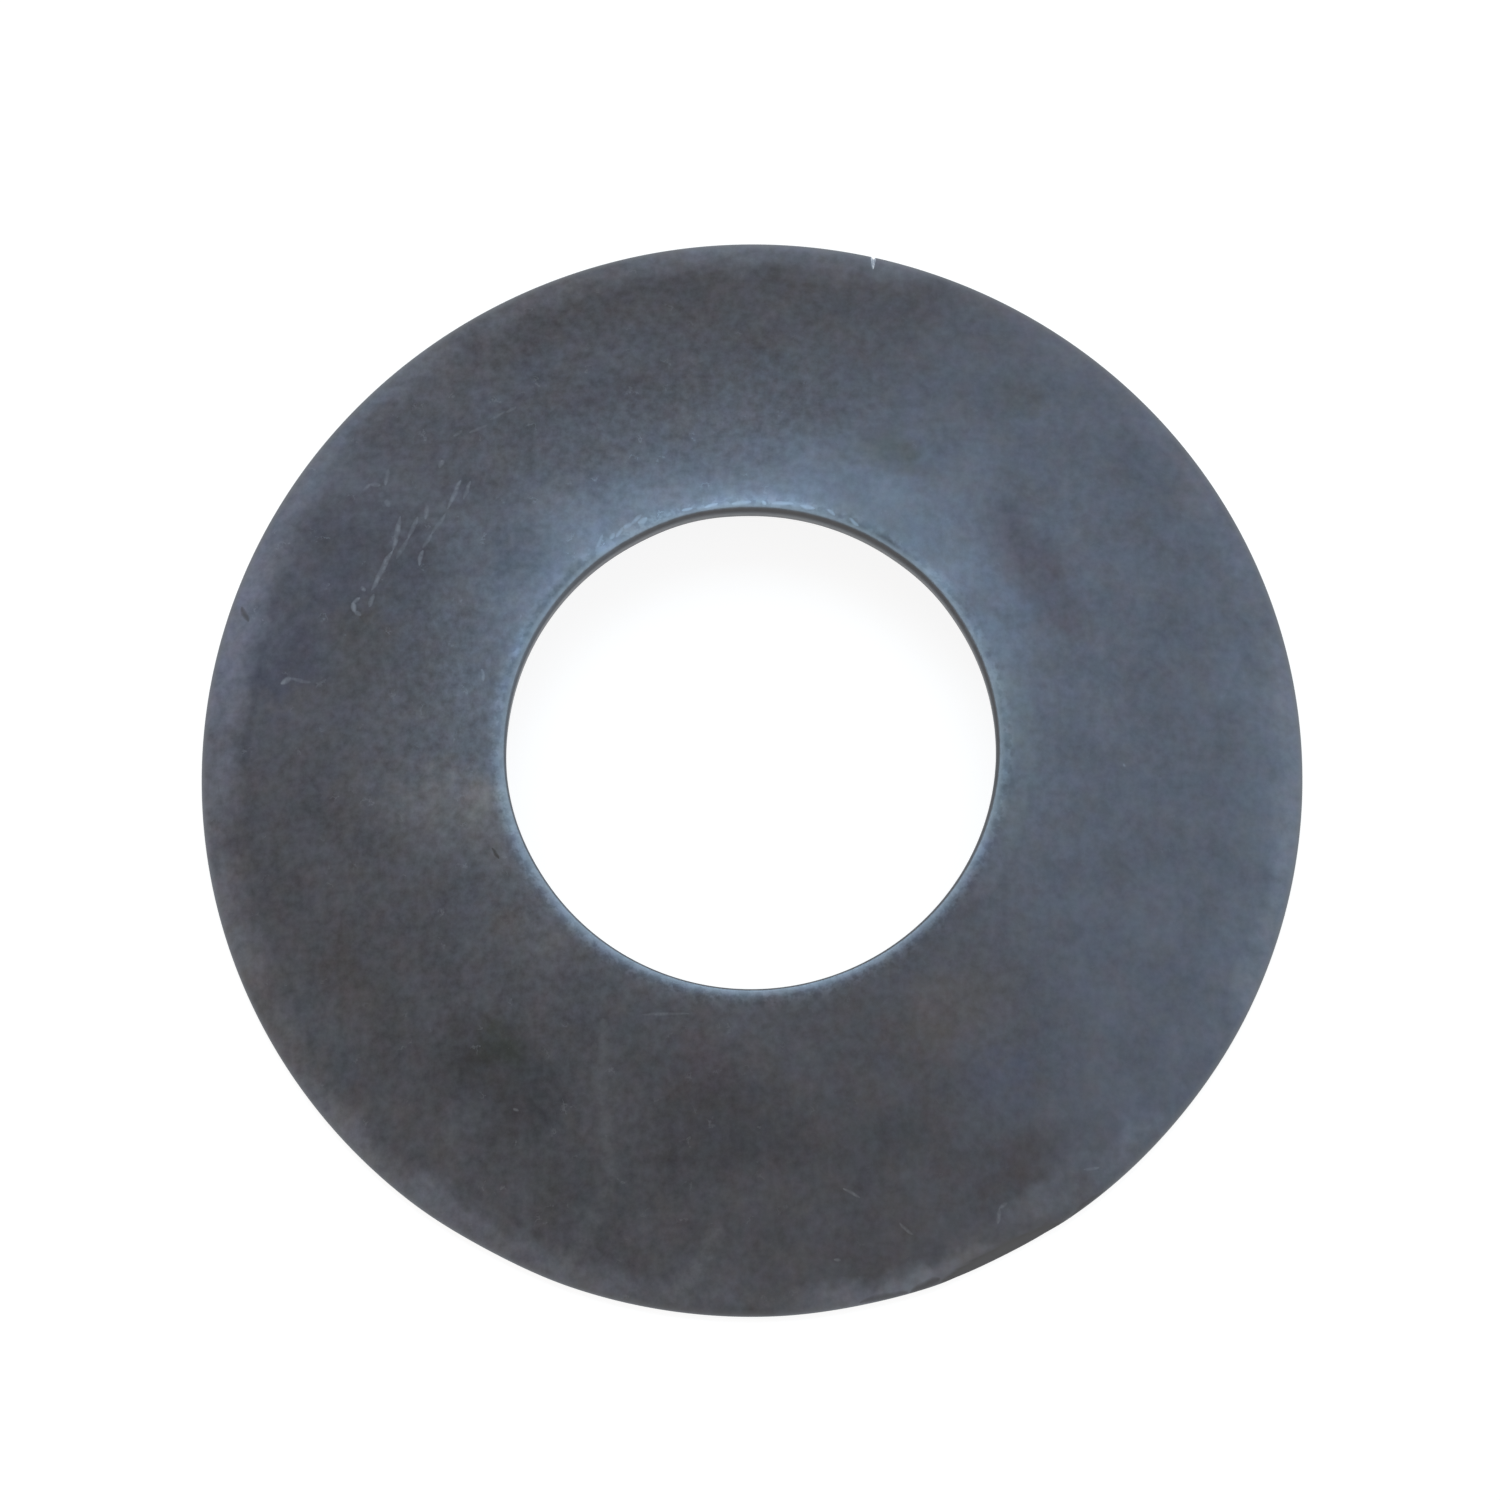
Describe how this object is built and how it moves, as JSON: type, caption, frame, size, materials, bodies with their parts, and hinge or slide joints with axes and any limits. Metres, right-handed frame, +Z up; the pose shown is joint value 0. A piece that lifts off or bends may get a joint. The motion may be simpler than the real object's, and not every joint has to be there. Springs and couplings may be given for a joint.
{
  "type": "thrust washer",
  "caption": "Dished thrust washer: a thin ball-shaped steel ring with a round bore, dark blue-grey oxide finish, that takes end thrust between a gear's round back and its housing.",
  "frame": {"origin": "on the bore's axis, at the height of the outer foot on which the ring lies (z = 0)", "axes": "+Z up along the bore's axis, towards the convex side; -Y faces the camera of the picture"},
  "size_m": [0.0438, 0.0438, 0.0052],
  "materials": {
    "oxide_steel": "dark blue-grey oxide, satin, with fine handling scratches"
  },
  "bodies": {
    "root": {"thrust_washer": "oxide_steel"}
  },
  "joints": []
}
